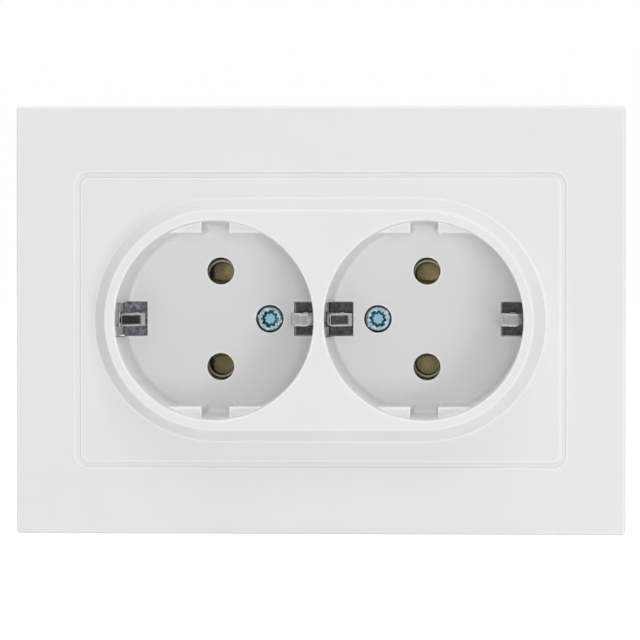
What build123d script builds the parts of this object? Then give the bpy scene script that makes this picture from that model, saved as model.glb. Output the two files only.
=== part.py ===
"""Double earthed wall socket for a round wall box.

X runs along the socket, Z is up and the front faces -Y. The wall plane is Y = 0. Depths are
written as a height in front of the wall, so what lies inside the wall box has negative heights.
"""

import os
from math import atan, cos, degrees, radians, sin

from build123d import *

# Heights in front of the wall
panel_height = 16.0
floor_height = 3.5
floor_thickness = 1.6
recess_depth = 17.5

# Frame
frame_width = 119.6
frame_tall = 84.0
frame_wall = 2.0
frame_face = 2.2
frame_corner = 0.8
frame_edge = 0.4
groove_width = 1.0
groove_depth = 0.5
panel_gap = 0.12
ledge_width = 1.5
ledge_thickness = 1.4
collar_wall = 1.6
frame_rib = 1.2
frame_rib_depth = 5.0

# Centre panel and raised stadium
panel_side_margin = 2.9
panel_top_margin = 4.15
panel_thickness = 2.0
panel_corner = 1.7
stadium_land = 2.0
stadium_spread = 2.3
stadium_wall = 2.0
stadium_edge = 0.35
locating_rib = 1.2
locating_rib_depth = 3.5
locating_gap = 0.15

# Plug recesses
recess_radius = 19.5
recess_web = 2.0
recess_draft_run = 0.7
cup_wall = 1.2
rim_edge = 0.3
floor_fillet = 0.8
key_reach = 2.5
key_drop = 4.0
key_channel = 5.5
key_edge = 0.4
pin_spacing = 19.0
pin_hole_radius = 2.7

# Cover screws
screw_inset = 9.75
screw_head_radius = 2.5
screw_head_height = 1.8
screw_shank_radius = 1.5
screw_length = 10.5
screw_seat_depth = 2.0
screw_head_gap = 0.25
screw_hole_gap = 0.2
thread_gap = 0.05
boss_radius = 4.4
drive_width = 0.9
drive_depth = 0.9
left_screw_turn = -12.0
right_screw_turn = 37.0

# Earth clips
earth_thickness = 0.6
earth_width = 6.4
earth_tongue_width = 2.5
earth_tongue_gap = 0.2
earth_set_back = 0.3
earth_fork_height = 3.0
earth_nose_reach = 5.2
earth_nose_height = 10.5
earth_tip_reach = 0.9
earth_tip_drop = 0.6
earth_foot_reach = 4.6
earth_bend = 0.9
earth_slot_width = 6.9
earth_slot_reach = 4.9
earth_slot_cap = 1.0
earth_top_gap = 1.4
earth_pocket_gap = 0.25
rivet_radius = 1.0
rivet_head_radius = 1.7
rivet_head_height = 0.7
rivet_reach = 2.6

# Support plate and wall box
support_width = 80.0
support_tall = 72.0
support_thickness = 1.0
support_corner = 9.0
support_bend = 1.2
box_screw_spacing = 60.0
box_slot_width = 4.2
box_slot_length = 7.0
bridge_width = 12.0
window_width = 20.8
window_tall = 29.8
window_corner = 2.0

# Base and its rear cover
base_end_wall = 2.5
base_tall = 32.0
base_radius = 29.0
base_depth = 20.0
base_front_wall = 1.6
base_pin_hole_radius = 3.1
well_corner = 0.5
rear_cover_thickness = 2.0
rear_screw_radius = 1.4
rear_screw_head_radius = 2.7
rear_screw_length = 8.0
rear_screw_turn = 30.0
stake_radius = 1.5
stake_head_radius = 2.2
stake_head_height = 0.8
stake_offset = 12.0
fit_gap = 0.2

# Contact bars
bar_thickness = 0.7
bar_offset = 4.2
bar_back_margin = 0.9
bar_strip_height = 7.0
leaf_arc_radius = 4.4
leaf_throat = 3.8
leaf_throat_depth = 5.0
leaf_mouth_depth = 2.6
leaf_mouth_flare = 0.7
contact_width = 6.0
leaf_arc = 105.0

# Wire terminals
terminal_width = 6.4
terminal_thick = 5.0
terminal_length = 7.0
terminal_wall = 0.9
terminal_back_margin = 5.0
terminal_head_radius = 2.7
terminal_head_height = 1.8
terminal_shank_radius = 1.5
terminal_travel = 2.6
terminal_screw_turn = 35.0
earth_screw_turn = 70.0
wire_hole_radius = 1.7
earth_tab_reach = 7.0
earth_tab_width = 6.0

# Spreading claws
claw_across = 8.5
claw_width = 7.0
claw_thickness = 1.2
claw_pivot_up = 18.2
claw_pivot_depth = 5.2
claw_pin_radius = 1.0
claw_pin_gap = 0.05
claw_pin_end = 0.4
claw_knuckle_radius = 1.7
claw_screw_reach = 4.4
claw_screw_length = 12.0
claw_screw_turn = 65.0
claw_slot_width = 3.4
claw_slot_length = 4.4
claw_slot_lead = 0.5
claw_arm_reach = 8.0
claw_arm_length = 11.5
claw_tooth_length = 3.5
claw_tooth_spread = 0.8
claw_ear_gap = 0.3
claw_ear_width = 3.6

# Worked-out heights and places
hair = 0.01
rim_height = floor_height + recess_depth
floor_under = floor_height - floor_thickness
ledge_height = panel_height - panel_thickness
socket_pitch = 2 * recess_radius + recess_web
half_pitch = socket_pitch / 2
half_pin = pin_spacing / 2
screw_offset = half_pitch - screw_inset
cup_radius = recess_radius + cup_wall
recess_draft = degrees(atan(recess_draft_run / recess_depth))
stadium_top_radius = recess_radius + stadium_land
stadium_base_radius = stadium_top_radius + stadium_spread
stadium_rise = rim_height - panel_height
stadium_taper = degrees(atan(stadium_spread / stadium_rise))
panel_width = socket_pitch + 2 * stadium_base_radius + 2 * panel_side_margin
panel_tall = 2 * stadium_base_radius + 2 * panel_top_margin
base_width = socket_pitch + contact_width + 2 * base_end_wall
bar_depth = base_depth - bar_back_margin
terminal_depth = base_depth - terminal_back_margin
window_centre = bridge_width / 2 + window_width / 2
earth_tab_edge = bridge_width / 2 + window_width
earth_tab_across = earth_tab_edge - earth_tab_reach

os.makedirs("parts", exist_ok=True)


def level(height):
    """A sketch plane parallel to the wall, at a height in front of it."""
    return Plane.XZ.offset(height)


def half_turn(piece):
    """The same piece turned upside down about the middle of the socket."""
    return piece.rotate(Axis.Y, 180)


def screw(seat, head_radius, head_height, shank_radius, length, turn):
    """A pan-headed screw seated on a plane, with a crossed drive turned by an angle."""
    with BuildPart() as made:
        with BuildSketch(seat):
            Circle(head_radius)
        extrude(amount=head_height)
        top_edges = made.faces().sort_by(Axis((0, 0, 0), seat.z_dir))[-1].edges()
        fillet(top_edges, radius=head_height / 3)
        with BuildSketch(seat):
            Circle(shank_radius)
        extrude(amount=-length)
        tip_edges = made.faces().sort_by(Axis((0, 0, 0), seat.z_dir))[0].edges()
        chamfer(tip_edges, length=shank_radius / 3)
        with BuildSketch(seat.offset(head_height)):
            Rectangle(2 * head_radius, drive_width, rotation=turn)
            Rectangle(1.2 * head_radius, drive_width, rotation=turn + 90)
        extrude(amount=-drive_depth, mode=Mode.SUBTRACT)
    return made.part


# Frame: a hollow moulding with a stepped window and a ledge that the panel clamps to the wall
window_width_outer = panel_width + 2 * groove_width
window_tall_outer = panel_tall + 2 * groove_width
collar_width = window_width_outer + 2 * collar_wall
collar_tall = window_tall_outer + 2 * collar_wall
ledge_open_width = panel_width - 2 * ledge_width
ledge_open_tall = panel_tall - 2 * ledge_width
frame_inner_width = frame_width - 2 * frame_wall
frame_inner_tall = frame_tall - 2 * frame_wall
rib_up = (frame_inner_tall + collar_tall) / 4
rib_across = (frame_inner_width + collar_width) / 4
rib_span_up = (frame_inner_tall - collar_tall) / 2
rib_span_across = (frame_inner_width - collar_width) / 2

with BuildPart() as frame:
    with BuildSketch(level(0)):
        RectangleRounded(frame_width, frame_tall, frame_corner)
    extrude(amount=panel_height)
    fillet(frame.faces().sort_by(Axis.Y)[0].edges(), radius=frame_edge)
    with BuildSketch(level(0)):
        RectangleRounded(frame_inner_width, frame_inner_tall, frame_corner)
    extrude(amount=panel_height - frame_face, mode=Mode.SUBTRACT)
    with BuildSketch(level(ledge_height - ledge_thickness)):
        RectangleRounded(collar_width, collar_tall, panel_corner + groove_width + collar_wall)
    extrude(amount=panel_height - frame_face - ledge_height + ledge_thickness)
    with BuildSketch(level(panel_height - frame_face - frame_rib_depth)):
        with GridLocations(frame_inner_width / 4, 2 * rib_up, 4, 2):
            Rectangle(frame_rib, rib_span_up)
        with GridLocations(2 * rib_across, frame_inner_tall / 3, 2, 2):
            Rectangle(rib_span_across, frame_rib)
    extrude(amount=frame_rib_depth)
    with BuildSketch(level(0)):
        RectangleRounded(ledge_open_width, ledge_open_tall, panel_corner)
    extrude(amount=panel_height, mode=Mode.SUBTRACT)
    with BuildSketch(level(ledge_height)):
        RectangleRounded(
            panel_width + 2 * panel_gap, panel_tall + 2 * panel_gap, panel_corner + panel_gap
        )
    extrude(amount=panel_thickness, mode=Mode.SUBTRACT)
    with BuildSketch(level(panel_height - groove_depth)):
        RectangleRounded(window_width_outer, window_tall_outer, panel_corner + groove_width)
    extrude(amount=groove_depth, mode=Mode.SUBTRACT)
frame.part.label = "frame"
export_step(frame.part, "parts/frame.step")

# Socket cover: panel, raised stadium and both plug recesses in one moulding
locating_width = ledge_open_width - 2 * locating_gap
locating_tall = ledge_open_tall - 2 * locating_gap
core_top_height = rim_height - stadium_wall
core_top_radius = stadium_top_radius + stadium_wall * stadium_spread / stadium_rise - stadium_wall
core_depth = core_top_height - ledge_height
core_base_radius = core_top_radius + core_depth * stadium_spread / stadium_rise
key_flat = recess_radius - key_reach
key_height = recess_depth - key_drop
earth_plate_radius = recess_radius + earth_set_back
earth_slot_radius = recess_radius - earth_slot_reach
pocket_radius = earth_plate_radius + earth_thickness / 2 + earth_pocket_gap
pocket_span = pocket_radius - earth_slot_radius
pocket_height = rim_height - earth_slot_cap - floor_under
middle_slot = 2 * (half_pitch - earth_slot_radius)

with BuildPart() as socket_cover:
    with BuildSketch(level(ledge_height)):
        RectangleRounded(panel_width, panel_tall, panel_corner)
    extrude(amount=panel_thickness)
    with BuildSketch(level(panel_height)):
        SlotCenterToCenter(socket_pitch, 2 * stadium_base_radius)
    extrude(amount=stadium_rise, taper=stadium_taper)
    with BuildSketch(level(ledge_height)):
        SlotCenterToCenter(socket_pitch, 2 * core_base_radius)
    extrude(amount=core_depth, taper=stadium_taper, mode=Mode.SUBTRACT)
    with BuildSketch(level(ledge_height - locating_rib_depth)):
        RectangleRounded(locating_width, locating_tall, panel_corner)
        RectangleRounded(
            locating_width - 2 * locating_rib,
            locating_tall - 2 * locating_rib,
            panel_corner,
            mode=Mode.SUBTRACT,
        )
    extrude(amount=locating_rib_depth)
    with BuildSketch(level(floor_under)):
        with GridLocations(socket_pitch, 1, 2, 1):
            Circle(cup_radius)
    extrude(amount=rim_height - floor_under)
    with BuildSketch(level(0)):
        with GridLocations(2 * screw_offset, 1, 2, 1):
            Circle(boss_radius)
    extrude(amount=floor_under)
    with BuildSketch(level(rim_height)):
        with GridLocations(socket_pitch, 1, 2, 1):
            Circle(recess_radius)
    extrude(amount=-recess_depth, taper=recess_draft, mode=Mode.SUBTRACT)
    rim_face = socket_cover.faces().sort_by(Axis.Y)[0]
    fillet(rim_face.outer_wire().edges(), radius=stadium_edge)
    rim_face = socket_cover.faces().sort_by(Axis.Y)[0]
    fillet([edge for wire in rim_face.inner_wires() for edge in wire.edges()], radius=rim_edge)
    with BuildSketch(level(floor_height)):
        with GridLocations(socket_pitch, 1, 2, 1):
            Circle(recess_radius + cup_wall / 2)
            Rectangle(2 * cup_radius, 2 * key_flat, mode=Mode.SUBTRACT)
            Rectangle(key_channel, 2 * cup_radius, mode=Mode.SUBTRACT)
    extrude(amount=key_height)
    floor_edges = socket_cover.edges().filter_by_position(
        Axis.Y, -floor_height - hair, -floor_height + hair
    )
    fillet(floor_edges, radius=floor_fillet)
    key_top = rim_height - key_drop
    key_edges = socket_cover.edges().filter_by(Axis.X).filter_by_position(
        Axis.Y, -key_top - hair, -key_top + hair
    )
    fillet(key_edges, radius=key_edge)
    with BuildSketch(level(floor_under)):
        with GridLocations(socket_pitch + 2 * earth_slot_radius + pocket_span, 1, 2, 1):
            Rectangle(pocket_span, earth_slot_width)
        Rectangle(middle_slot, earth_slot_width)
    extrude(amount=pocket_height, mode=Mode.SUBTRACT)
    with BuildSketch(level(floor_height)):
        with GridLocations(socket_pitch, pin_spacing, 2, 2):
            Circle(pin_hole_radius)
    extrude(amount=-floor_thickness, mode=Mode.SUBTRACT)
    with Locations(level(floor_height)):
        with GridLocations(2 * screw_offset, 1, 2, 1):
            CounterBoreHole(
                radius=screw_shank_radius + screw_hole_gap,
                counter_bore_radius=screw_head_radius + screw_head_gap,
                counter_bore_depth=screw_seat_depth,
                depth=floor_height,
            )
socket_cover.part.label = "socket_cover"
export_step(socket_cover.part, "parts/socket_cover.step")

# Cover screws: one in each recess, left standing at different angles
with BuildPart() as cover_screws:
    for across, turn in ((-screw_offset, left_screw_turn), (screw_offset, right_screw_turn)):
        seat = Plane((across, screw_seat_depth - floor_height, 0), (1, 0, 0), (0, -1, 0))
        add(
            screw(
                seat,
                screw_head_radius,
                screw_head_height,
                screw_shank_radius,
                screw_length,
                turn,
            )
        )
cover_screws.part.label = "cover_screws"
export_step(cover_screws.part, "parts/cover_screws.step")

# Support plate: steel sheet on the wall, with the box slots, the claw ears and the earth tab
ear_inner = claw_width / 2 + claw_ear_gap
ear_depth = claw_pivot_depth + claw_knuckle_radius
ear_mid = ear_inner + support_thickness / 2
ear_flap = ear_depth - support_thickness
claw_screw_up = claw_pivot_up + claw_screw_reach
sheet_mid = support_thickness / 2
rivet_place_radius = recess_radius - rivet_reach

with BuildPart() as support_plate:
    with BuildSketch(level(0)):
        RectangleRounded(support_width, support_tall, support_corner)
        with GridLocations(2 * window_centre, 1, 2, 1):
            RectangleRounded(window_width, window_tall, window_corner, mode=Mode.SUBTRACT)
        with GridLocations(1, box_screw_spacing, 1, 2):
            SlotOverall(box_slot_length, box_slot_width, rotation=90, mode=Mode.SUBTRACT)
        with GridLocations(1, 2 * stake_offset, 1, 2):
            Circle(stake_radius + thread_gap, mode=Mode.SUBTRACT)
        with Locations((claw_across, claw_screw_up), (-claw_across, -claw_screw_up)):
            Circle(screw_shank_radius + screw_hole_gap, mode=Mode.SUBTRACT)
        for side in (1, -1):
            flap_mid = ear_inner + ear_flap / 2
            with Locations(
                (claw_across * side + flap_mid, claw_pivot_up * side),
                (claw_across * side - flap_mid, claw_pivot_up * side),
            ):
                Rectangle(ear_flap, claw_ear_width, mode=Mode.SUBTRACT)
    extrude(amount=support_thickness)
    for side in (1, -1):
        for hand in (1, -1):
            ear_across = claw_across * side + hand * ear_mid
            ear_start = ear_across - hand * (ear_mid + sheet_mid)
            with BuildSketch(Plane((0, 0, claw_pivot_up * side), (1, 0, 0), (0, 0, -1))):
                with BuildLine():
                    FilletPolyline(
                        (ear_start, sheet_mid),
                        (ear_across, sheet_mid),
                        (ear_across, -ear_depth),
                        radius=support_bend,
                    )
                trace(line_width=support_thickness)
            extrude(amount=claw_ear_width / 2, both=True)
        with BuildSketch(
            Plane((claw_across * side, claw_pivot_depth, claw_pivot_up * side), (0, 1, 0), (1, 0, 0))
        ):
            Circle(claw_pin_radius + thread_gap)
        extrude(amount=claw_width, both=True, mode=Mode.SUBTRACT)
    with BuildSketch(Plane((0, 0, 0), (1, 0, 0), (0, 0, -1))):
        with BuildLine():
            FilletPolyline(
                (-earth_tab_edge - support_thickness, sheet_mid),
                (-earth_tab_across, sheet_mid),
                (-earth_tab_across, -terminal_depth - terminal_length / 2),
                radius=support_bend,
            )
        trace(line_width=support_thickness)
    extrude(amount=earth_tab_width / 2, both=True)
    with BuildSketch(Plane((-earth_tab_across, terminal_depth, 0), (0, 1, 0), (1, 0, 0))):
        Circle(terminal_shank_radius + screw_hole_gap)
    extrude(amount=support_thickness, both=True, mode=Mode.SUBTRACT)
    with Locations(Plane.XZ * Rotation(180, 0, 0)):
        for cup in (-half_pitch, half_pitch):
            with Locations((cup - rivet_place_radius, 0), (cup + rivet_place_radius, 0)):
                CounterSinkHole(
                    radius=rivet_radius,
                    counter_sink_radius=rivet_radius + support_thickness / 2,
                    depth=support_thickness,
                    counter_sink_angle=90,
                )
support_plate.part.label = "support_plate"
export_step(support_plate.part, "parts/support_plate.step")

# Earth clips: each is one folded spring, a foot on the plate, two wings up the wall and a tongue
earth_foot_height = support_thickness + earth_thickness / 2
earth_plate_top = rim_height - earth_slot_cap - earth_top_gap
earth_tip_height = earth_plate_top - earth_tip_drop
earth_nose_radius = recess_radius - earth_nose_reach
earth_tip_radius = recess_radius - earth_tip_reach
earth_foot_radius = recess_radius - earth_foot_reach
tongue_end_radius = earth_tip_radius + earth_thickness / 2
tongue_round_radius = tongue_end_radius - earth_tongue_width / 2
wing_inner = earth_tongue_width / 2 + earth_tongue_gap
clip_places = (
    ("earth_clip_left_outer", -half_pitch, -1),
    ("earth_clip_left_inner", -half_pitch, 1),
    ("earth_clip_right_inner", half_pitch, -1),
    ("earth_clip_right_outer", half_pitch, 1),
)
for clip_name, cup, outward in clip_places:
    section = Plane((cup, 0, 0), (outward, 0, 0), (0, 0, -outward))
    with BuildPart() as earth_clip:
        with BuildSketch(section):
            with BuildLine():
                FilletPolyline(
                    (earth_foot_radius, earth_foot_height),
                    (earth_plate_radius, earth_foot_height),
                    (earth_plate_radius, earth_plate_top),
                    radius=earth_bend,
                )
            trace(line_width=earth_thickness)
        extrude(amount=earth_width / 2, both=True)
        with BuildSketch(level(earth_fork_height)):
            with Locations((cup + outward * earth_plate_radius, 0)):
                Rectangle(4 * earth_thickness, 2 * wing_inner)
        extrude(amount=earth_plate_top, mode=Mode.SUBTRACT)
        with BuildSketch(section):
            with BuildLine():
                FilletPolyline(
                    (earth_plate_radius, earth_fork_height - earth_bend),
                    (earth_plate_radius, earth_fork_height + earth_bend),
                    (earth_nose_radius + earth_thickness / 2, earth_nose_height),
                    (earth_tip_radius, earth_tip_height),
                    radius=earth_bend,
                )
            trace(line_width=earth_thickness)
        extrude(amount=earth_tongue_width / 2, both=True)
        with BuildSketch(level(earth_nose_height)):
            with Locations((cup + outward * tongue_end_radius, 0)):
                Rectangle(earth_tongue_width, earth_tongue_width)
            with Locations((cup + outward * tongue_round_radius, 0)):
                Circle(earth_tongue_width / 2, mode=Mode.SUBTRACT)
        extrude(amount=earth_plate_top - earth_nose_height, mode=Mode.SUBTRACT)
        rivet_place = Plane((cup + outward * rivet_place_radius, 0, 0), (1, 0, 0), (0, -1, 0))
        with BuildSketch(rivet_place):
            Circle(rivet_radius)
        extrude(amount=support_thickness + 2 * earth_thickness, mode=Mode.SUBTRACT)
    earth_clip.part.label = clip_name
    export_step(earth_clip.part, "parts/" + clip_name + ".step")

# Earth rivets: domed in front, spread into the countersinks behind the support plate
rivet_grip = support_thickness + earth_thickness
rivet_flare = support_thickness / 2
with BuildPart() as earth_rivets:
    for clip_name, cup, outward in clip_places:
        across = cup + outward * rivet_place_radius
        with BuildSketch(level(0)):
            with Locations((across, 0)):
                Circle(rivet_radius)
        extrude(amount=rivet_grip)
        with BuildSketch(level(rivet_grip)):
            with Locations((across, 0)):
                Circle(rivet_head_radius)
        extrude(amount=rivet_head_height, taper=30)
        with BuildSketch(level(0)):
            with Locations((across, 0)):
                Circle(rivet_radius + rivet_flare)
        extrude(amount=rivet_flare, taper=45)
earth_rivets.part.label = "earth_rivets"
export_step(earth_rivets.part, "parts/earth_rivets.step")

# Base: moulded block with a well at each pin, the bar channels and the terminal pockets
well_width = contact_width + 3 * fit_gap
well_tall = 2 * bar_offset + bar_thickness + 2 * fit_gap
channel_width = socket_pitch + contact_width + 2 * fit_gap
channel_tall = bar_thickness + 2 * fit_gap
channel_up = half_pin + bar_offset
channel_height = bar_strip_height + bar_thickness + 2 * fit_gap
bar_outer = channel_up + bar_thickness / 2
block_up = channel_up - bar_thickness / 2 - terminal_thick / 2
pocket_low = channel_up - bar_thickness / 2 - terminal_thick - fit_gap
pocket_high = bar_outer + fit_gap
terminal_top = terminal_depth - terminal_length / 2 - fit_gap
tab_inner = earth_tab_across - sheet_mid
tab_outer = earth_tab_across + sheet_mid
earth_block_across = tab_inner - terminal_thick / 2
earth_pocket_inner = tab_inner - terminal_thick - fit_gap
earth_pocket_outer = tab_outer + fit_gap
head_room_radius = terminal_head_radius + fit_gap
head_notch_span = base_width / 2 - earth_pocket_outer

with BuildPart() as base:
    with BuildSketch(level(0)):
        Rectangle(base_width, base_tall)
        Circle(base_radius, mode=Mode.INTERSECT)
    extrude(amount=-base_depth)
    with BuildSketch(level(-base_depth)):
        with GridLocations(socket_pitch, pin_spacing, 2, 2):
            RectangleRounded(well_width, well_tall, well_corner)
    extrude(amount=base_depth - base_front_wall, mode=Mode.SUBTRACT)
    with BuildSketch(level(-base_depth)):
        with GridLocations(1, 2 * channel_up, 1, 2):
            Rectangle(channel_width, channel_tall)
    extrude(amount=channel_height, mode=Mode.SUBTRACT)
    with BuildSketch(level(-base_depth)):
        with GridLocations(1, pocket_low + pocket_high, 1, 2):
            Rectangle(terminal_width + 2 * fit_gap, pocket_high - pocket_low)
        with Locations((-(earth_pocket_inner + earth_pocket_outer) / 2, 0)):
            Rectangle(earth_pocket_outer - earth_pocket_inner, terminal_width + 2 * fit_gap)
    extrude(amount=base_depth - terminal_top, mode=Mode.SUBTRACT)
    with BuildSketch(level(-base_depth)):
        with Locations((-earth_tab_across, 0)):
            Rectangle(support_thickness + 2 * fit_gap, earth_tab_width + 2 * fit_gap)
    extrude(amount=base_depth, mode=Mode.SUBTRACT)
    with BuildSketch(level(0)):
        with Locations((-earth_tab_across - support_bend / 2, 0)):
            Rectangle(support_thickness + support_bend, earth_tab_width + 2 * fit_gap)
    extrude(amount=-support_bend, mode=Mode.SUBTRACT)
    with BuildSketch(Plane((0, terminal_depth, 0), (1, 0, 0), (0, 0, 1))):
        Circle(head_room_radius)
    extrude(amount=base_tall, both=True, mode=Mode.SUBTRACT)
    with BuildSketch(level(-base_depth)):
        with Locations((-earth_pocket_outer - head_notch_span / 2, 0)):
            Rectangle(head_notch_span, 2 * head_room_radius)
    extrude(amount=base_depth - base_front_wall, mode=Mode.SUBTRACT)
    with BuildSketch(level(0)):
        with GridLocations(socket_pitch, pin_spacing, 2, 2):
            Circle(base_pin_hole_radius)
    extrude(amount=-base_front_wall, mode=Mode.SUBTRACT)
    with BuildSketch(level(0)):
        with GridLocations(2 * screw_offset, 1, 2, 1):
            Circle(screw_shank_radius + thread_gap)
    extrude(amount=floor_height - screw_seat_depth - screw_length - fit_gap, mode=Mode.SUBTRACT)
    with BuildSketch(level(-base_depth)):
        with GridLocations(2 * screw_offset, 1, 2, 1):
            Circle(rear_screw_radius + thread_gap)
    extrude(amount=rear_screw_length - rear_cover_thickness + fit_gap, mode=Mode.SUBTRACT)
    with BuildSketch(level(0)):
        with GridLocations(1, 2 * stake_offset, 1, 2):
            Circle(stake_radius)
    extrude(amount=support_thickness)
    with BuildSketch(level(support_thickness)):
        with GridLocations(1, 2 * stake_offset, 1, 2):
            Circle(stake_head_radius)
    extrude(amount=stake_head_height, taper=25)
base.part.label = "base"
export_step(base.part, "parts/base.step")

# Rear cover: the lid of the base, with the wire entries and its two countersunk screws
wire_up = block_up
with BuildPart() as rear_cover:
    with BuildSketch(level(-base_depth)):
        Rectangle(base_width, base_tall)
        Circle(base_radius, mode=Mode.INTERSECT)
    extrude(amount=-rear_cover_thickness)
    with BuildSketch(level(-base_depth)):
        with GridLocations(1, 2 * wire_up, 1, 2):
            Circle(wire_hole_radius)
        with Locations((-earth_block_across, 0)):
            Circle(wire_hole_radius)
    extrude(amount=-rear_cover_thickness, mode=Mode.SUBTRACT)
    with Locations(Plane((0, base_depth + rear_cover_thickness, 0), (1, 0, 0), (0, 1, 0))):
        with GridLocations(2 * screw_offset, 1, 2, 1):
            CounterSinkHole(
                radius=rear_screw_radius + screw_hole_gap,
                counter_sink_radius=rear_screw_head_radius + thread_gap,
                depth=rear_cover_thickness,
                counter_sink_angle=90,
            )
rear_cover.part.label = "rear_cover"
export_step(rear_cover.part, "parts/rear_cover.step")

with BuildPart() as rear_cover_screws:
    for across in (-screw_offset, screw_offset):
        back = Plane((across, base_depth + rear_cover_thickness, 0), (1, 0, 0), (0, 0, 1))
        head_run = rear_screw_head_radius - rear_screw_radius
        with BuildSketch(back):
            with BuildLine():
                Polyline(
                    (0, 0),
                    (rear_screw_head_radius, 0),
                    (rear_screw_radius, -head_run),
                    (rear_screw_radius, -rear_screw_length),
                    (0, -rear_screw_length),
                    close=True,
                )
            make_face()
        revolve(axis=Axis((across, 0, 0), (0, 1, 0)))
        outside = Plane((across, base_depth + rear_cover_thickness, 0), (1, 0, 0), (0, 1, 0))
        with BuildSketch(outside):
            for turn in (rear_screw_turn, rear_screw_turn + 90):
                Rectangle(1.2 * rear_screw_head_radius, drive_width, rotation=turn)
        extrude(amount=-drive_depth, mode=Mode.SUBTRACT)
rear_cover_screws.part.label = "rear_cover_screws"
export_step(rear_cover_screws.part, "parts/rear_cover_screws.step")

# Contact bars: a strip on edge that carries a two-leaved fork at each end
leaf_axis = leaf_throat / 2 - leaf_arc_radius
leaf_mid = leaf_arc_radius + bar_thickness / 2
leaf_root = bar_offset - leaf_axis
leaf_root_depth = bar_depth - bar_strip_height
leaf_start = radians(leaf_arc / 2)
leaf_plane = Plane(
    (0, 0, leaf_axis), (-sin(leaf_start), 0, cos(leaf_start)), (cos(leaf_start), 0, sin(leaf_start))
)
with BuildPart() as leaf:
    with BuildSketch(leaf_plane):
        with BuildLine():
            FilletPolyline(
                (leaf_mid + leaf_mouth_flare, -leaf_mouth_depth),
                (leaf_mid, -leaf_throat_depth),
                (leaf_root, -leaf_root_depth),
                (leaf_root, -leaf_root_depth - 2 * bar_thickness),
                radius=bar_thickness,
            )
        trace(line_width=bar_thickness)
    revolve(axis=Axis((0, 0, leaf_axis), (0, 1, 0)), revolution_arc=leaf_arc)
    with BuildSketch(level(-bar_depth)):
        Rectangle(contact_width, 4 * bar_offset)
    extrude(amount=bar_depth, mode=Mode.INTERSECT)

with BuildPart() as line_bar:
    with BuildSketch(level(-bar_depth - bar_thickness / 2)):
        with Locations((0, channel_up)):
            Rectangle(socket_pitch + contact_width, bar_thickness)
    extrude(amount=bar_strip_height + bar_thickness / 2)
    for across in (-half_pitch, half_pitch):
        with BuildSketch(Plane((across, 0, half_pin), (0, 0, 1), (1, 0, 0))):
            with BuildLine():
                FilletPolyline(
                    (bar_offset, -leaf_root_depth),
                    (bar_offset, -bar_depth),
                    (-bar_offset, -bar_depth),
                    (-bar_offset, -leaf_root_depth),
                    radius=2 * bar_thickness,
                )
            trace(line_width=bar_thickness)
        extrude(amount=contact_width / 2, both=True)
        with Locations((across, 0, half_pin)):
            add(leaf.part)
            add(leaf.part.rotate(Axis.Y, 180))
    with BuildSketch(Plane((0, terminal_depth, channel_up), (1, 0, 0), (0, 0, 1))):
        Circle(terminal_shank_radius + screw_hole_gap)
    extrude(amount=bar_thickness, both=True, mode=Mode.SUBTRACT)
line_bar.part.label = "line_bar"
export_step(line_bar.part, "parts/line_bar.step")

neutral_bar = half_turn(line_bar.part)
neutral_bar.label = "neutral_bar"
export_step(neutral_bar, "parts/neutral_bar.step")

# Wire terminals: brass boxes on the bars and on the earth tab, each with a clamping screw
terminal_screw_length = terminal_travel + terminal_wall + bar_thickness + 2 * fit_gap
with BuildPart() as line_terminal:
    with BuildSketch(level(-terminal_depth - terminal_length / 2)):
        with Locations((0, block_up)):
            Rectangle(terminal_width, terminal_thick)
            Rectangle(
                terminal_width - 2 * terminal_wall,
                terminal_thick - 2 * terminal_wall,
                mode=Mode.SUBTRACT,
            )
    extrude(amount=terminal_length)
    with BuildSketch(Plane((0, terminal_depth, block_up), (1, 0, 0), (0, 0, 1))):
        Circle(terminal_shank_radius + thread_gap)
    extrude(amount=terminal_thick / 2, mode=Mode.SUBTRACT)
line_terminal.part.label = "line_terminal"
export_step(line_terminal.part, "parts/line_terminal.step")

neutral_terminal = half_turn(line_terminal.part)
neutral_terminal.label = "neutral_terminal"
export_step(neutral_terminal, "parts/neutral_terminal.step")

with BuildPart() as earth_terminal:
    with BuildSketch(level(-terminal_depth - terminal_length / 2)):
        with Locations((-earth_block_across, 0)):
            Rectangle(terminal_thick, terminal_width)
            Rectangle(
                terminal_thick - 2 * terminal_wall,
                terminal_width - 2 * terminal_wall,
                mode=Mode.SUBTRACT,
            )
    extrude(amount=terminal_length)
    with BuildSketch(Plane((-earth_block_across, terminal_depth, 0), (0, 1, 0), (-1, 0, 0))):
        Circle(terminal_shank_radius + thread_gap)
    extrude(amount=terminal_thick / 2, mode=Mode.SUBTRACT)
earth_terminal.part.label = "earth_terminal"
export_step(earth_terminal.part, "parts/earth_terminal.step")

line_seat = Plane((0, terminal_depth, bar_outer + terminal_travel + fit_gap), (1, 0, 0), (0, 0, 1))
line_terminal_screw = screw(
    line_seat,
    terminal_head_radius,
    terminal_head_height,
    terminal_shank_radius,
    terminal_screw_length,
    terminal_screw_turn,
)
line_terminal_screw.label = "line_terminal_screw"
export_step(line_terminal_screw, "parts/line_terminal_screw.step")

neutral_terminal_screw = half_turn(line_terminal_screw)
neutral_terminal_screw.label = "neutral_terminal_screw"
export_step(neutral_terminal_screw, "parts/neutral_terminal_screw.step")

earth_seat = Plane((-tab_outer - terminal_travel - fit_gap, terminal_depth, 0), (0, 1, 0), (-1, 0, 0))
earth_terminal_screw = screw(
    earth_seat,
    terminal_head_radius,
    terminal_head_height,
    terminal_shank_radius,
    terminal_screw_length + support_thickness - bar_thickness,
    earth_screw_turn,
)
earth_terminal_screw.label = "earth_terminal_screw"
export_step(earth_terminal_screw, "parts/earth_terminal_screw.step")

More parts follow.
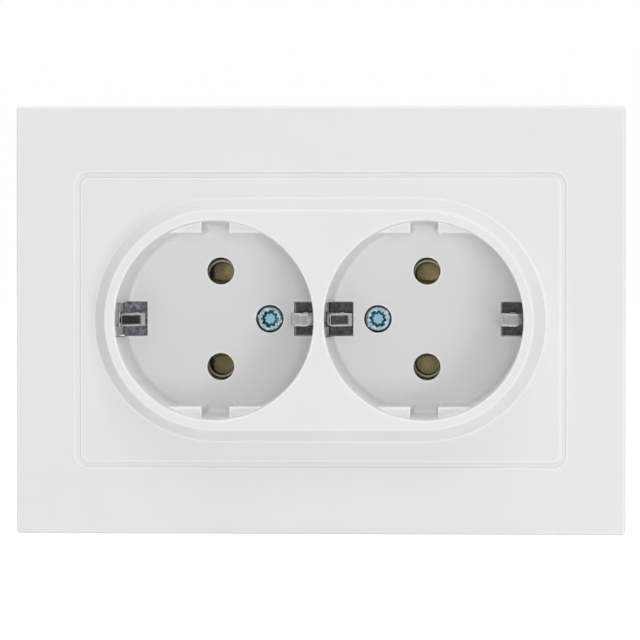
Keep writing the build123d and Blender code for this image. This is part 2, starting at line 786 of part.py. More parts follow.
# Claws: folded steel, hinged on the ears, with a slotted tab for the screw and a toothed arm
claw_plane = Plane((claw_across, claw_pivot_depth, claw_pivot_up), (0, 0, 1), (1, 0, 0))
tab_start = claw_pin_radius + claw_thickness / 2
tooth_end = claw_pivot_depth + claw_arm_length + claw_tooth_length
with BuildPart() as upper_claw:
    with BuildSketch(claw_plane):
        Circle(claw_knuckle_radius)
        with Locations((claw_arm_reach, -claw_thickness)):
            Rectangle(claw_thickness, 3 * claw_thickness)
        make_hull()
    extrude(amount=claw_width / 2, both=True)
    with BuildSketch(claw_plane):
        Rectangle(4 * claw_arm_reach, 4 * claw_arm_reach)
    extrude(amount=claw_width / 2 - claw_thickness, both=True, mode=Mode.SUBTRACT)
    with BuildSketch(claw_plane):
        with BuildLine():
            FilletPolyline(
                (tab_start, 0),
                (claw_arm_reach, 0),
                (claw_arm_reach, -claw_arm_length),
                (claw_arm_reach + claw_tooth_spread, -claw_arm_length - claw_tooth_length),
                radius=claw_thickness,
            )
        trace(line_width=claw_thickness)
    extrude(amount=claw_width / 2, both=True)
    slot_up = claw_screw_up + claw_slot_lead
    with BuildSketch(Plane((claw_across, claw_pivot_depth, slot_up), (0, 0, 1), (0, -1, 0))):
        SlotOverall(claw_slot_length, claw_slot_width)
    extrude(amount=claw_thickness, both=True, mode=Mode.SUBTRACT)
    with BuildSketch(claw_plane):
        Circle(claw_pin_radius + claw_pin_gap)
    extrude(amount=claw_width, both=True, mode=Mode.SUBTRACT)
    with BuildSketch(Plane((claw_across, tooth_end, claw_pivot_up), (1, 0, 0), (0, 0, 1))):
        with BuildLine():
            Polyline(
                (-claw_width / 2 + claw_thickness, -claw_thickness),
                (0, claw_tooth_length),
                (claw_width / 2 - claw_thickness, -claw_thickness),
                close=True,
            )
        make_face()
    extrude(amount=2 * claw_arm_reach, mode=Mode.SUBTRACT)
upper_claw.part.label = "upper_claw"
export_step(upper_claw.part, "parts/upper_claw.step")

with BuildPart() as upper_claw_pin:
    with BuildSketch(Plane((claw_across, claw_pivot_depth, claw_pivot_up), (0, 0, 1), (1, 0, 0))):
        Circle(claw_pin_radius)
    extrude(amount=ear_inner + support_thickness + claw_pin_end, both=True)
    chamfer(upper_claw_pin.edges().filter_by(GeomType.CIRCLE), length=claw_pin_end / 2)
upper_claw_pin.part.label = "upper_claw_pin"
export_step(upper_claw_pin.part, "parts/upper_claw_pin.step")

claw_seat = Plane((claw_across, -support_thickness, claw_screw_up), (1, 0, 0), (0, -1, 0))
upper_claw_screw = screw(
    claw_seat,
    screw_head_radius,
    screw_head_height,
    screw_shank_radius,
    claw_screw_length,
    claw_screw_turn,
)
upper_claw_screw.label = "upper_claw_screw"
export_step(upper_claw_screw, "parts/upper_claw_screw.step")

lower_claw = half_turn(upper_claw.part)
lower_claw.label = "lower_claw"
export_step(lower_claw, "parts/lower_claw.step")

lower_claw_pin = half_turn(upper_claw_pin.part)
lower_claw_pin.label = "lower_claw_pin"
export_step(lower_claw_pin, "parts/lower_claw_pin.step")

lower_claw_screw = half_turn(upper_claw_screw)
lower_claw_screw.label = "lower_claw_screw"
export_step(lower_claw_screw, "parts/lower_claw_screw.step")
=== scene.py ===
import math

import bmesh
import bpy
from mathutils import Matrix, Vector


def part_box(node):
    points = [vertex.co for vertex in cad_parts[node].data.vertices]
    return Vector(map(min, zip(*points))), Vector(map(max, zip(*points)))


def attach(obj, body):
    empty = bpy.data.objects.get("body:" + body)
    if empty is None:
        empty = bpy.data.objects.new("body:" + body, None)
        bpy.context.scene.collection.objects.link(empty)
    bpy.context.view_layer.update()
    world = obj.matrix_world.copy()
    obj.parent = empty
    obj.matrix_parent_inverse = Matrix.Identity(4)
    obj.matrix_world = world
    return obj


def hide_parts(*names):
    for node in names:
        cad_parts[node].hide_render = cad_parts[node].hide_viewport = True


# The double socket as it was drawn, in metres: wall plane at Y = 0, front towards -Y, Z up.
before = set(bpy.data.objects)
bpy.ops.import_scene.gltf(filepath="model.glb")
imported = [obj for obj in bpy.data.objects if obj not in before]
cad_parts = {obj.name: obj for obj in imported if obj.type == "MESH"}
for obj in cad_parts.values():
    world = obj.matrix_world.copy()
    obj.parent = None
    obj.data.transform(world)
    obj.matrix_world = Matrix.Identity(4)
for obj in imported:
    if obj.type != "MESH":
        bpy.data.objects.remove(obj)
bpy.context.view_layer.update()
bpy.context.scene.view_settings.view_transform = "Standard"


# Contact bars: spring brass strip, blanked and folded, with a two-leaved fork behind each pin hole.
# Bare rolled brass, dulled to olive brown, with the fine lines of the rolling mill along the strip.
score_strength = 0.35
speck_share = 0.35
mask_samples = 6


def feed(tree, socket, value):
    """Sets an input to a constant, or links it where the value is another node's output."""
    if isinstance(value, bpy.types.NodeSocket):
        tree.links.new(value, socket)
    else:
        socket.default_value = value


def new_group(name, inputs, outputs):
    """An empty node group with its inputs and outputs, ready to be wired."""
    group = bpy.data.node_groups.new(name, "ShaderNodeTree")
    for label, kind, default in inputs:
        socket = group.interface.new_socket(label, in_out="INPUT", socket_type=kind)
        socket.default_value = default
    for label, kind in outputs:
        group.interface.new_socket(label, in_out="OUTPUT", socket_type=kind)
    return group, group.nodes.new("NodeGroupInput"), group.nodes.new("NodeGroupOutput")


def noise(tree, vector, scale, detail, distortion=0.0):
    """A noise pattern read on a vector, with its scale per metre."""
    texture = tree.nodes.new("ShaderNodeTexNoise")
    feed(tree, texture.inputs["Vector"], vector)
    feed(tree, texture.inputs["Scale"], scale)
    texture.inputs["Detail"].default_value = detail
    texture.inputs["Distortion"].default_value = distortion
    return texture.outputs["Fac"]


def spread(tree, value, low, high, new_low, new_high):
    """A value stretched from one range to another and held there."""
    stretch = tree.nodes.new("ShaderNodeMapRange")
    stretch.inputs["From Min"].default_value = low
    stretch.inputs["From Max"].default_value = high
    stretch.inputs["To Min"].default_value = new_low
    stretch.inputs["To Max"].default_value = new_high
    feed(tree, stretch.inputs["Value"], value)
    return stretch.outputs["Result"]


def maths(tree, operation, *terms, clamp=False):
    """A sum or product of values, each of them a constant or another node's output."""
    node = tree.nodes.new("ShaderNodeMath")
    node.operation = operation
    node.use_clamp = clamp
    for socket, term in zip(node.inputs, terms):
        feed(tree, socket, term)
    return node.outputs[0]


def mixed(tree, share, first, second):
    """Two colours mixed by a share."""
    mix = tree.nodes.new("ShaderNodeMix")
    mix.data_type = "RGBA"
    feed(tree, mix.inputs["Factor"], share)
    feed(tree, mix.inputs["A"], first)
    feed(tree, mix.inputs["B"], second)
    return mix.outputs["Result"]


# Tarnish: broad cloudy patches and fine specks that sheet metal takes on
tarnish, tarnish_in, tarnish_out = new_group(
    "tarnish",
    [
        ("Bright", "NodeSocketColor", (0.6, 0.6, 0.6, 1)),
        ("Dull", "NodeSocketColor", (0.3, 0.3, 0.3, 1)),
        ("Patch scale", "NodeSocketFloat", 300.0),
        ("Speck scale", "NodeSocketFloat", 2500.0),
    ],
    [("Color", "NodeSocketColor"), ("Roughness", "NodeSocketFloat")],
)
tarnish_place = tarnish.nodes.new("ShaderNodeTexCoord").outputs["Object"]
patch = noise(tarnish, tarnish_place, tarnish_in.outputs["Patch scale"], 4.0, 0.6)
speck = noise(tarnish, tarnish_place, tarnish_in.outputs["Speck scale"], 3.0)
cloud = maths(tarnish, "MULTIPLY_ADD", speck, speck_share, patch)
cloud_mask = spread(tarnish, cloud, 0.5, 0.9, 0.0, 1.0)
cloud_colour = mixed(
    tarnish, cloud_mask, tarnish_in.outputs["Bright"], tarnish_in.outputs["Dull"]
)
cloud_roughness = spread(tarnish, cloud, 0.4, 0.95, 0.2, 0.42)
tarnish.links.new(cloud_colour, tarnish_out.inputs["Color"])
tarnish.links.new(cloud_roughness, tarnish_out.inputs["Roughness"])

# Edge wear and highlight: how near a spot lies to a sharp outer edge, lightened there as a painted edge
# highlight, and on metal as bare worn edges too
edge_wear_and_highlight, edge_wear_and_highlight_in, edge_wear_and_highlight_out = new_group(
    "edge_wear_and_highlight", [("Radius", "NodeSocketFloat", 0.0001)], [("Mask", "NodeSocketFloat")]
)
edge_round = edge_wear_and_highlight.nodes.new("ShaderNodeBevel")
edge_round.samples = mask_samples
edge_wear_and_highlight.links.new(edge_wear_and_highlight_in.outputs["Radius"], edge_round.inputs["Radius"])
edge_flat = edge_wear_and_highlight.nodes.new("ShaderNodeNewGeometry")
edge_turn = edge_wear_and_highlight.nodes.new("ShaderNodeVectorMath")
edge_turn.operation = "DOT_PRODUCT"
edge_wear_and_highlight.links.new(edge_round.outputs["Normal"], edge_turn.inputs[0])
edge_wear_and_highlight.links.new(edge_flat.outputs["Normal"], edge_turn.inputs[1])
edge_share = spread(edge_wear_and_highlight, edge_turn.outputs["Value"], 0.998, 0.88, 0.0, 1.0)
edge_wear_and_highlight.links.new(edge_share, edge_wear_and_highlight_out.inputs["Mask"])

# Rolling lines: long fine scores along one direction of a strip
rolling, rolling_in, rolling_out = new_group(
    "rolling_lines",
    [("Stretch", "NodeSocketVector", (200.0, 6000.0, 6000.0))],
    [("Height", "NodeSocketFloat")],
)
rolling_place = rolling.nodes.new("ShaderNodeVectorMath")
rolling_place.operation = "MULTIPLY"
rolling_spot = rolling.nodes.new("ShaderNodeTexCoord").outputs["Object"]
rolling.links.new(rolling_spot, rolling_place.inputs[0])
rolling.links.new(rolling_in.outputs["Stretch"], rolling_place.inputs[1])
score = noise(rolling, rolling_place.outputs[0], 1.0, 3.0)
rolling.links.new(score, rolling_out.inputs["Height"])

# Crevice grime and shade: how far a spot lies in a corner, where the finish is darkened as painted shade
# and as grease and dust
crevice_grime_and_shade, crevice_grime_and_shade_in, crevice_grime_and_shade_out = new_group(
    "crevice_grime_and_shade", [("Distance", "NodeSocketFloat", 0.0006)], [("Mask", "NodeSocketFloat")]
)
corner_dark = crevice_grime_and_shade.nodes.new("ShaderNodeAmbientOcclusion")
corner_dark.samples = mask_samples
crevice_grime_and_shade.links.new(crevice_grime_and_shade_in.outputs["Distance"], corner_dark.inputs["Distance"])
corner_share = spread(crevice_grime_and_shade, corner_dark.outputs["AO"], 0.85, 0.35, 0.0, 1.0)
crevice_grime_and_shade.links.new(corner_share, crevice_grime_and_shade_out.inputs["Mask"])


def placed(tree, group, **values):
    """A node group placed in a material with its own values."""
    node = tree.nodes.new("ShaderNodeGroup")
    node.node_tree = group
    for label, value in values.items():
        node.inputs[label.replace("_", " ").capitalize()].default_value = value
    return node


def new_finish(name):
    """A fresh material, with its node tree and its surface shader."""
    finish = bpy.data.materials.new(name)
    finish.use_nodes = True
    return finish, finish.node_tree, finish.node_tree.nodes["Principled BSDF"]


def raised(tree, shader, height, strength, depth):
    """Lets a pattern of heights tilt a shader's surface."""
    bump = tree.nodes.new("ShaderNodeBump")
    bump.inputs["Strength"].default_value = strength
    bump.inputs["Distance"].default_value = depth
    tree.links.new(height, bump.inputs["Height"])
    tree.links.new(bump.outputs["Normal"], shader.inputs["Normal"])


def overlaid(finish, share, colour):
    """Lays one more colour over a finish, where a mask says so."""
    tree = finish.node_tree
    base_colour = tree.nodes["Principled BSDF"].inputs["Base Color"]
    below = base_colour.links[0].from_socket
    tree.links.new(mixed(tree, share, below, colour), base_colour)


def metal(
    name, bright, dull, rub_and_highlight, grime_and_shade, grime_and_shade_reach, patch_scale, speck_scale, edge, score_depth, stretch,
    sheen=1.0,
):
    """A metal finish: tarnished body, bare edges with a painted highlight, corners darkened by painted
    shade and grime, and a scored surface on one shader.
    """
    finish, tree, shader = new_finish(name)
    shader.inputs["Metallic"].default_value = sheen
    body = placed(
        tree, tarnish, bright=bright, dull=dull, patch_scale=patch_scale, speck_scale=speck_scale
    )
    tree.links.new(body.outputs["Color"], shader.inputs["Base Color"])
    tree.links.new(body.outputs["Roughness"], shader.inputs["Roughness"])
    # Corners get the grime tone as painted shade and grime, and sharp edges get the rub tone as a painted
    # highlight and bare metal
    overlaid(finish, placed(tree, crevice_grime_and_shade, distance=grime_and_shade_reach).outputs["Mask"], grime_and_shade)
    overlaid(finish, placed(tree, edge_wear_and_highlight, radius=edge).outputs["Mask"], rub_and_highlight)
    lines = placed(tree, rolling, stretch=stretch)
    raised(tree, shader, lines.outputs["Height"], score_strength, score_depth)
    return finish


def dress(finish, *nodes):
    """Gives drawn pieces their finish."""
    for node in nodes:
        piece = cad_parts[node]
        piece.data.materials.clear()
        piece.data.materials.append(finish)


along_strip = (150.0, 5000.0, 5000.0)
bar_brass = metal(
    "bar_brass",
    bright=(0.86, 0.72, 0.38, 1), dull=(0.7, 0.58, 0.3, 1), rub_and_highlight=(0.95, 0.88, 0.62, 1),
    grime_and_shade=(0.1, 0.08, 0.045, 1), grime_and_shade_reach=0.0008, patch_scale=250.0, speck_scale=2600.0,
    edge=0.00008, score_depth=0.00002, stretch=along_strip, sheen=0.45,
)
dress(bar_brass, "line_bar", "neutral_bar")

# Lead-in funnels: the mouth of each fork is curled into a small collar that leads the pin in.
# The whole collar is coloured near black as painted shadow in its throat, and its faces turned to the
# front are painted paler: the bare cut edge, with painted light on it.
contact_half = 0.003
funnel_mouth = 0.00252
funnel_throat = 0.00228
funnel_sheet = 0.00042
funnel_front = 0.0
funnel_back = 0.0025
funnel_shift = 0.00072
cut_edge_lit_brass = (0.4, 0.36, 0.265, 1)
ring_sides = 64
smooth_angle = math.radians(35)
funnel_shaded_brass = metal(
    "funnel_shaded_brass",
    bright=(0.09, 0.075, 0.045, 1), dull=(0.05, 0.042, 0.026, 1), rub_and_highlight=(0.1, 0.085, 0.055, 1),
    grime_and_shade=(0.03, 0.025, 0.016, 1), grime_and_shade_reach=0.0008, patch_scale=250.0, speck_scale=2600.0,
    edge=0.00008, score_depth=0.00002, stretch=along_strip, sheen=0.6,
)
funnel_tree = funnel_shaded_brass.node_tree
funnel_way = funnel_tree.nodes.new("ShaderNodeSeparateXYZ")
funnel_tree.links.new(
    funnel_tree.nodes.new("ShaderNodeTexCoord").outputs["Normal"], funnel_way.inputs[0]
)
# Faces turned to the front get the paler tone: painted light on the bare cut edge
funnel_front_lit = spread(funnel_tree, funnel_way.outputs["Y"], -0.8, -0.95, 0.0, 1.0)
overlaid(funnel_shaded_brass, funnel_front_lit, cut_edge_lit_brass)


def sheet_ring(name, middle, front_radius, back_radius, depth, thickness):
    """A ring of sheet metal round an axis along Y, with its inner face on the given radii."""
    bpy.ops.mesh.primitive_cone_add(
        vertices=ring_sides, radius1=front_radius, radius2=back_radius, depth=depth,
        end_fill_type="NOTHING", location=middle, rotation=(-math.pi / 2, 0, 0),
    )
    ring = bpy.context.object
    ring.name = name
    bpy.ops.object.transform_apply(location=True, rotation=True, scale=True)
    sheet = ring.modifiers.new("sheet", "SOLIDIFY")
    sheet.thickness = thickness
    sheet.offset = 1.0
    bpy.ops.object.modifier_apply(modifier="sheet")
    bpy.ops.object.shade_smooth_by_angle(angle=smooth_angle)
    return ring


for node, outer in (("line_bar", 1), ("neutral_bar", -1)):
    low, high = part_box(node)
    axis_height = (low.z + high.z) / 2 - outer * funnel_shift
    for side, across in (("left", low.x + contact_half), ("right", high.x - contact_half)):
        funnel = sheet_ring(
            node + "_funnel_" + side, (across, (funnel_front + funnel_back) / 2, axis_height),
            funnel_mouth, funnel_throat, funnel_back - funnel_front, funnel_sheet,
        )
        funnel.data.materials.append(funnel_shaded_brass)
        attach(funnel, "socket")

# Wire terminals: drawn brass boxes, cut from bar, that hold the wire ends by a screw.
# Brighter than the strip, because they are tumbled after cutting.
terminal_brass = metal(
    "terminal_brass",
    bright=(0.64, 0.5, 0.24, 1), dull=(0.42, 0.31, 0.13, 1), rub_and_highlight=(0.78, 0.66, 0.4, 1),
    grime_and_shade=(0.1, 0.08, 0.05, 1), grime_and_shade_reach=0.0006, patch_scale=400.0, speck_scale=3000.0,
    edge=0.00012, score_depth=0.00002, stretch=(4000.0, 300.0, 4000.0),
)
dress(terminal_brass, "line_terminal", "neutral_terminal", "earth_terminal")

# Base and rear cover: grey moulded blocks that hold the brass, with a dull spark-eroded skin.
# The moulding grain is shared with the white pieces in front, which are much smoother.
grain_strength = 0.4
glow_reach = 0.0008
glow_colours = (1.0, 0.95, 0.9)
moulded, moulded_in, moulded_out = new_group(
    "moulded_skin",
    [
        ("Tone", "NodeSocketColor", (0.8, 0.8, 0.8, 1)),
        ("Shade", "NodeSocketColor", (0.7, 0.7, 0.7, 1)),
        ("Grain scale", "NodeSocketFloat", 6000.0),
        ("Flow scale", "NodeSocketFloat", 60.0),
        ("Gloss", "NodeSocketFloat", 0.3),
        ("Gloss spread", "NodeSocketFloat", 0.06),
    ],
    [("Color", "NodeSocketColor"), ("Roughness", "NodeSocketFloat"), ("Height", "NodeSocketFloat")],
)
moulded_place = moulded.nodes.new("ShaderNodeTexCoord").outputs["Object"]
grain = noise(moulded, moulded_place, moulded_in.outputs["Grain scale"], 2.0)
flow = noise(moulded, moulded_place, moulded_in.outputs["Flow scale"], 3.0, 0.8)
flow_share = spread(moulded, flow, 0.3, 0.7, 0.0, 1.0)
flow_colour = mixed(moulded, flow_share, moulded_in.outputs["Tone"], moulded_in.outputs["Shade"])
flow_roughness = maths(
    moulded, "MULTIPLY_ADD", flow_share, moulded_in.outputs["Gloss spread"], moulded_in.outputs["Gloss"]
)
moulded.links.new(flow_colour, moulded_out.inputs["Color"])
moulded.links.new(flow_roughness, moulded_out.inputs["Roughness"])
moulded.links.new(grain, moulded_out.inputs["Height"])


def plastic(name, tone, shade, rub_and_highlight, grain_scale, flow_scale, gloss, gloss_spread, grain_depth, edge, glow):
    """A moulded plastic finish: grain, flow clouds, a painted highlight along the edges and light carried
    under the skin.
    """
    finish, tree, shader = new_finish(name)
    shader.inputs["Subsurface Weight"].default_value = glow
    shader.inputs["Subsurface Scale"].default_value = glow_reach
    shader.inputs["Subsurface Radius"].default_value = glow_colours
    skin = placed(
        tree, moulded, tone=tone, shade=shade, grain_scale=grain_scale, flow_scale=flow_scale,
        gloss=gloss, gloss_spread=gloss_spread,
    )
    tree.links.new(skin.outputs["Color"], shader.inputs["Base Color"])
    tree.links.new(skin.outputs["Roughness"], shader.inputs["Roughness"])
    # Sharp edges get the rub tone, a painted edge highlight
    overlaid(finish, placed(tree, edge_wear_and_highlight, radius=edge).outputs["Mask"], rub_and_highlight)
    raised(tree, shader, skin.outputs["Height"], grain_strength, grain_depth)
    return finish


base_grey = plastic(
    "base_grey",
    tone=(0.36, 0.37, 0.37, 1), shade=(0.31, 0.32, 0.33, 1), rub_and_highlight=(0.46, 0.47, 0.47, 1),
    grain_scale=7000.0, flow_scale=90.0, gloss=0.45, gloss_spread=0.12, grain_depth=0.00003,
    edge=0.00015, glow=0.0,
)
dress(base_grey, "base", "rear_cover")

# Rear cover screws: short countersunk steel screws that hold the rear cover to the base.
# Cold-headed, with a rolled thread, and passivated to a bluish zinc like all the screws here.
# Its pale and dark clouds are partly zinc tarnish and partly painted reflections, mottled highlights on
# the heads
blue_zinc = metal(
    "blue_zinc",
    bright=(0.58, 0.7, 0.74, 1), dull=(0.15, 0.25, 0.3, 1), rub_and_highlight=(0.8, 0.93, 0.97, 1),
    grime_and_shade=(0.01, 0.06, 0.085, 1), grime_and_shade_reach=0.0003, patch_scale=900.0, speck_scale=4000.0,
    edge=0.00012, score_depth=0.00001, stretch=(3000.0, 3000.0, 3000.0),
)
# The drive recess is painted in shade: its walls a dark blue and its floor a paler blue, both darker than
# the head
drive_wall_shade_level = 0.5
drive_floor_shade_level = 1.0
drive_wall_shade_blue = (0.06, 0.29, 0.39, 1)
drive_floor_shade_blue = (0.27, 0.46, 0.53, 1)
zinc_tree = blue_zinc.node_tree
drive_node = zinc_tree.nodes.new("ShaderNodeAttribute")
drive_node.attribute_name = "drive"
drive_shade_mask = drive_node.outputs["Fac"]
overlaid(blue_zinc, spread(zinc_tree, drive_shade_mask, 0.0, drive_wall_shade_level, 0.0, 1.0), drive_wall_shade_blue)
overlaid(
    blue_zinc, spread(zinc_tree, drive_shade_mask, drive_wall_shade_level, drive_floor_shade_level, 0.0, 1.0),
    drive_floor_shade_blue,
)

# Shares of the head: how far its rim is rounded, and each drive cut's reach, width, depth, taper and turn
quarter = math.pi / 2
pan_round = 0.28
countersunk_round = 0.08
round_steps = 6
drive_cuts = (
    (1.2, 0.2, 0.16, 1.0, 0),
    (0.72, 0.42, 0.5, 0.4, 0),
    (0.72, 0.42, 0.5, 0.4, quarter),
    (0.52, 1.04, 0.58, 0.62, 0),
    (0.52, 1.04, 0.58, 0.62, quarter / 2),
)

# Shares of the shank: its core, its point, the thread's pitch, and the ridge's foot and crest
core_share = 0.82
point_share = 0.4
point_end = 0.6
pitch_share = 1 / 3
ridge_sunk = 0.94
ridge_foot = 0.85
ridge_crest = 0.2
thread_run_out = 1.6
thread_steps = 32
weld_gap = 1e-7


def pick(piece, kind, test):
    """Selects, in edit mode, only the faces or edges whose middle passes a test."""
    bpy.ops.mesh.select_all(action="DESELECT")
    mesh = bmesh.from_edit_mesh(piece.data)
    for part in getattr(mesh, kind):
        middle = sum((corner.co for corner in part.verts), Vector()) / len(part.verts)
        if test(middle):
            part.select_set(True)
    bmesh.update_edit_mesh(piece.data)


def only(piece):
    """Makes a piece the one that is selected and active."""
    bpy.ops.object.select_all(action="DESELECT")
    bpy.context.view_layer.objects.active = piece
    piece.select_set(True)


def cut_away(piece, cutter):
    """Cuts one piece out of another and throws the cutter away."""
    cut = piece.modifiers.new("cut", "BOOLEAN")
    cut.operation = "DIFFERENCE"
    cut.object = cutter
    only(piece)
    bpy.ops.object.modifier_apply(modifier="cut")
    bpy.data.objects.remove(cutter)


def drive_arm(height, reach, width, depth, taper, turn):
    """A wedge that cuts one arm of a drive recess down from a screw's top, narrower at its floor."""
    bpy.ops.mesh.primitive_cube_add(size=1.0, location=(0, 0, height), rotation=(0, 0, turn))
    arm = bpy.context.object
    arm.scale = (2 * reach, width, 2 * depth)
    bpy.ops.object.transform_apply(location=True, rotation=True, scale=True)
    bpy.ops.object.mode_set(mode="EDIT")
    pick(arm, "faces", lambda middle: middle.z < height - 0.9 * depth)
    bpy.ops.transform.resize(value=(taper, taper, 1))
    pick(arm, "faces", lambda middle: middle.z > height + 0.9 * depth)
    bpy.ops.transform.resize(value=(2 - taper, 2 - taper, 1))
    bpy.ops.object.mode_set(mode="OBJECT")
    return arm


def thread_ridge(shank_radius, core_radius, point, length):
    """A thread: one flank profile swept round the core as a helix, with closed ends."""
    pitch = pitch_share * shank_radius
    crest = shank_radius - ridge_sunk * core_radius
    bpy.ops.mesh.primitive_plane_add(
        size=1.0, location=(shank_radius - crest / 2, 0, point - length + pitch / 2),
        rotation=(quarter, 0, 0),
    )
    ridge = bpy.context.object
    ridge.scale = (crest, ridge_foot * pitch, 1)
    bpy.ops.object.transform_apply(location=True, rotation=True, scale=True)
    bpy.ops.object.mode_set(mode="EDIT")
    pick(ridge, "edges", lambda middle: middle.x > shank_radius - 0.1 * crest)
    bpy.ops.transform.resize(value=(1, 1, ridge_crest))
    bpy.ops.mesh.select_all(action="SELECT")
    bpy.ops.mesh.delete(type="ONLY_FACE")
    bpy.ops.object.mode_set(mode="OBJECT")
    helix = ridge.modifiers.new("helix", "SCREW")
    helix.axis = "Z"
    helix.screw_offset = pitch
    helix.iterations = int((length - point - thread_run_out * pitch) / pitch)
    helix.steps = thread_steps
    helix.render_steps = thread_steps
    bpy.ops.object.modifier_apply(modifier="helix")
    bpy.ops.object.mode_set(mode="EDIT")
    bpy.ops.mesh.select_all(action="SELECT")
    bpy.ops.mesh.remove_doubles(threshold=weld_gap)
    bpy.ops.mesh.fill_holes(sides=4)
    bpy.ops.mesh.select_all(action="SELECT")
    bpy.ops.mesh.normals_make_consistent(inside=False)
    bpy.ops.object.mode_set(mode="OBJECT")
    return ridge


def screw_piece(name, head_radius, head_height, seat_radius, shank_radius, length):
    """A screw standing on its seat at Z = 0, its head upwards, with a thread and a crossed slot."""
    core_radius = core_share * shank_radius
    point = point_share * shank_radius
    bpy.ops.mesh.primitive_cylinder_add(
        vertices=ring_sides, radius=head_radius, depth=head_height, location=(0, 0, head_height / 2)
    )
    piece = bpy.context.object
    piece.name = name
    bpy.ops.object.transform_apply(location=True, rotation=False, scale=False)
    bpy.ops.object.mode_set(mode="EDIT")
    pick(piece, "faces", lambda middle: middle.z < 0.01 * head_height)
    bpy.ops.transform.resize(value=(seat_radius / head_radius, seat_radius / head_radius, 1))
    if seat_radius > core_radius:
        bpy.ops.mesh.inset(thickness=seat_radius - core_radius)
    bpy.ops.mesh.extrude_region_move(TRANSFORM_OT_translate={"value": (0, 0, point - length)})
    bpy.ops.mesh.extrude_region_move(TRANSFORM_OT_translate={"value": (0, 0, -point)})
    bpy.ops.transform.resize(value=(point_end, point_end, 1))
    pick(piece, "edges", lambda middle: middle.z > 0.99 * head_height)
    round_off = pan_round if seat_radius == head_radius else countersunk_round
    bpy.ops.mesh.bevel(
        offset=round_off * head_height, segments=round_steps, profile=0.5, affect="EDGES"
    )
    bpy.ops.object.mode_set(mode="OBJECT")
    for reach, width, depth, taper, turn in drive_cuts:
        cut_away(piece, drive_arm(
            head_height, reach * head_radius, width * head_radius, depth * head_height, taper, turn
        ))
    ridge = thread_ridge(shank_radius, core_radius, point, length)
    only(piece)
    ridge.select_set(True)
    bpy.ops.object.join()
    bpy.ops.object.mode_set(mode="EDIT")
    bpy.ops.mesh.select_all(action="SELECT")
    bpy.ops.mesh.remove_doubles(threshold=weld_gap)
    bpy.ops.object.mode_set(mode="OBJECT")
    bpy.ops.object.shade_smooth_by_angle(angle=smooth_angle)
    piece.data.materials.append(blue_zinc)

    # Painted shade in the drive: the recess walls are painted dark blue and its floor a paler blue, both
    # as painted shade, while the slot's floor keeps the head's colour
    shade_levels = piece.data.attributes.new("drive", "FLOAT", "FACE")
    for face, shade_level in zip(piece.data.polygons, shade_levels.data):
        height = face.center.z / head_height
        level = face.normal.z > 0.9
        sunk = 0 < height < 0.97 and face.center.xy.length < 0.8 * head_radius
        in_slot = level and height > 0.7
        if sunk and not in_slot:
            shade_level.value = drive_floor_shade_level if level and height < 0.6 else drive_wall_shade_level
    return piece


def seated(screw, name, body, seat, outward, turn):
    """A copy of a screw put on its seat, facing outward, with its slot turned by some degrees."""
    copy = screw.copy()
    copy.data = screw.data.copy()
    copy.name = name
    bpy.context.collection.objects.link(copy)
    side = Vector((1, 0, 0)) if abs(outward.x) < 0.5 else Vector((0, 1, 0))
    place = Matrix((side, outward.cross(side), outward)).transposed().to_4x4()
    place.translation = seat
    copy.matrix_world = place @ Matrix.Rotation(math.radians(turn), 4, "Z")
    only(copy)
    bpy.ops.object.transform_apply(location=True, rotation=True, scale=True)
    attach(copy, body)
    return copy


rear_shank_share = 0.52
rear_low, rear_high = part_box("rear_cover_screws")
rear_head_radius = (rear_high.z - rear_low.z) / 2
rear_shank_radius = rear_shank_share * rear_head_radius
rear_head_height = rear_head_radius - rear_shank_radius
rear_pattern = screw_piece(
    "rear_pattern", rear_head_radius, rear_head_height, rear_shank_radius, rear_shank_radius,
    rear_high.y - rear_low.y - rear_head_height,
)
for side, across, turn in (
    ("left", rear_low.x + rear_head_radius, 30), ("right", rear_high.x - rear_head_radius, 75)
):
    seat = Vector((across, rear_high.y - rear_head_height, 0))
    made = seated(rear_pattern, "rear_screw_" + side, "socket", seat, Vector((0, 1, 0)), turn)
    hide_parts("rear_cover_screws")
bpy.data.objects.remove(rear_pattern)

# Support plate, claws, pins and rivets: sheet steel and wire, blanked, folded and riveted together.
# All of it is zinc plated, a dull pale grey with faint clouds and bare bright edges.
zinc_steel = metal(
    "zinc_steel",
    bright=(0.62, 0.63, 0.63, 1), dull=(0.52, 0.53, 0.54, 1), rub_and_highlight=(0.75, 0.75, 0.74, 1),
    grime_and_shade=(0.12, 0.12, 0.125, 1), grime_and_shade_reach=0.0006, patch_scale=230.0, speck_scale=1800.0,
    edge=0.00012, score_depth=0.00003, stretch=(250.0, 5000.0, 4000.0),
)
dress(
    zinc_steel, "support_plate", "upper_claw", "lower_claw", "upper_claw_pin", "lower_claw_pin",
    "earth_rivets",
)

